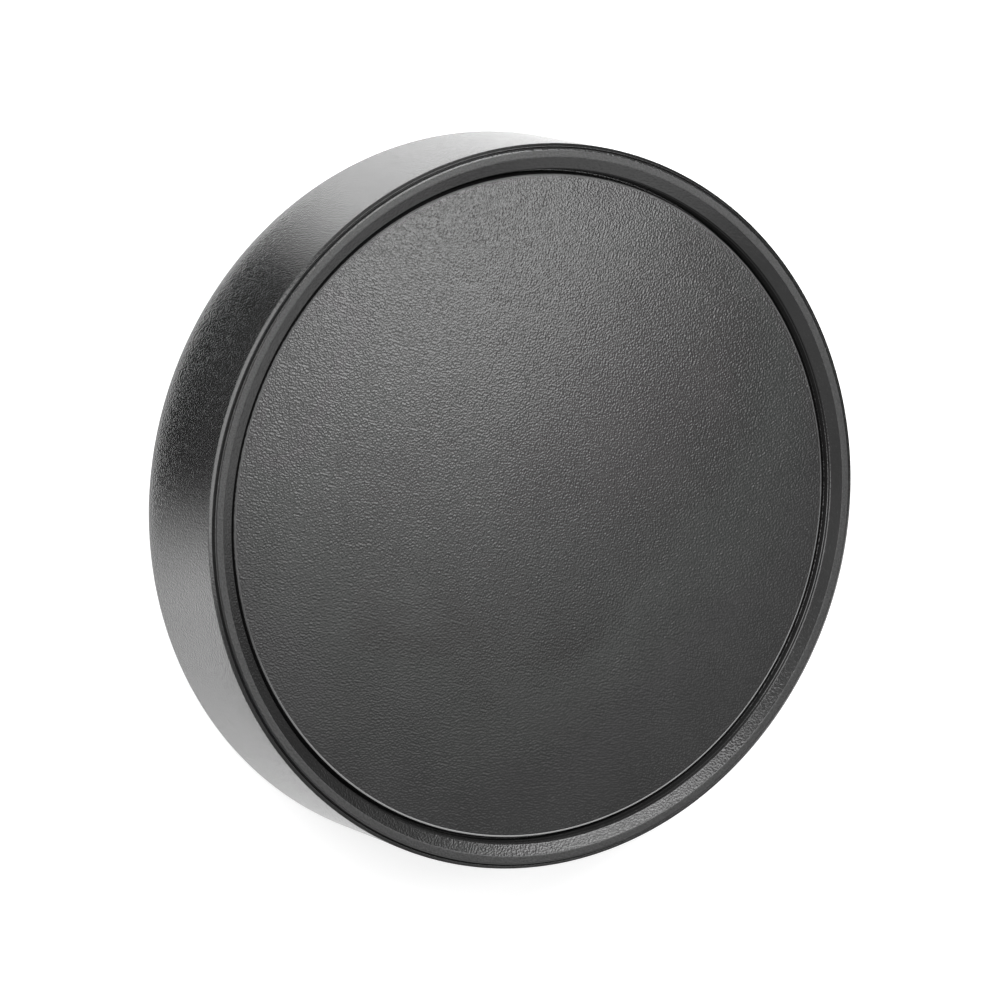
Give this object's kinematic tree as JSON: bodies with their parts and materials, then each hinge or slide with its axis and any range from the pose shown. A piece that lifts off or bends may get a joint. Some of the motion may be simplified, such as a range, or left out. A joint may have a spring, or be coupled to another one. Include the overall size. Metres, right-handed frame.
{
  "type": "metal lens cap",
  "caption": "Round push-on metal lens cap: plain turned skirt, stepped and dished front rim, recessed grained disc, felt strip inside the mouth.",
  "frame": {"origin": "centre of the mouth plane, on which the cap lies", "axes": "+Z along the cap's axis, from the open mouth to the face; X and Y lie in the mouth plane, and the lining's butt joint is on +X"},
  "size_m": [0.058, 0.058, 0.0113],
  "materials": {
    "black_anodised": "bead-blasted and black anodised, satin",
    "black_felt": "short, dense wool felt"
  },
  "bodies": {
    "root": {"cap_body": "black_anodised", "felt_lining": "black_felt"}
  },
  "joints": []
}
